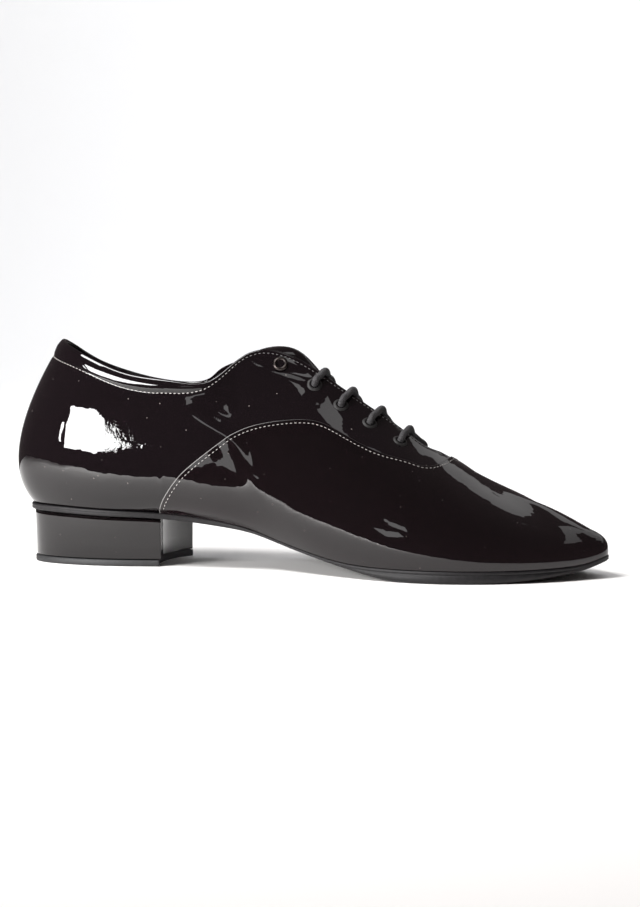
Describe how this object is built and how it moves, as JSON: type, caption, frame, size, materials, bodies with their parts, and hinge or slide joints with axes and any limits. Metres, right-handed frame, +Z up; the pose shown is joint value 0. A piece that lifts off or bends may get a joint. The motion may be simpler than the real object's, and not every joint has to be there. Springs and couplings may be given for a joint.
{
  "type": "ballroom dance shoe",
  "caption": "Men's black patent lace-up dance shoe for the left foot, with a hollow lasted upper, an open throat over a tongue, a thin close sole and a low covered heel.",
  "frame": {"origin": "on the floor, in the middle of the heel's tread", "axes": "+X towards the toe, +Z up, the medial side of this left shoe faces -Y"},
  "size_m": [0.296, 0.1031, 0.1094],
  "materials": {
    "patent_leather": "patent, high gloss, black",
    "tongue_leather": "smooth, semi-gloss, black",
    "eyelet_metal": "dark bright metal",
    "lace_cord": "round braided cord, matt dark grey",
    "sock": "matt black",
    "sole_edge": "painted edge, suede tread",
    "heel_cover": "patent, high gloss, black",
    "top_piece_rubber": "matt black"
  },
  "bodies": {
    "root": {"upper": "patent_leather", "tongue": "tongue_leather", "eyelet_medial_1": "eyelet_metal", "eyelet_medial_2": "eyelet_metal", "eyelet_medial_3": "eyelet_metal", "eyelet_medial_4": "eyelet_metal", "eyelet_medial_5": "eyelet_metal", "eyelet_lateral_1": "eyelet_metal", "eyelet_lateral_2": "eyelet_metal", "eyelet_lateral_3": "eyelet_metal", "eyelet_lateral_4": "eyelet_metal", "eyelet_lateral_5": "eyelet_metal", "lace_bar_1": "lace_cord", "lace_bar_2": "lace_cord", "lace_bar_3": "lace_cord", "lace_bar_4": "lace_cord", "insole": "sock", "outsole": "sole_edge", "heel": "heel_cover", "top_piece": "top_piece_rubber"}
  },
  "joints": []
}
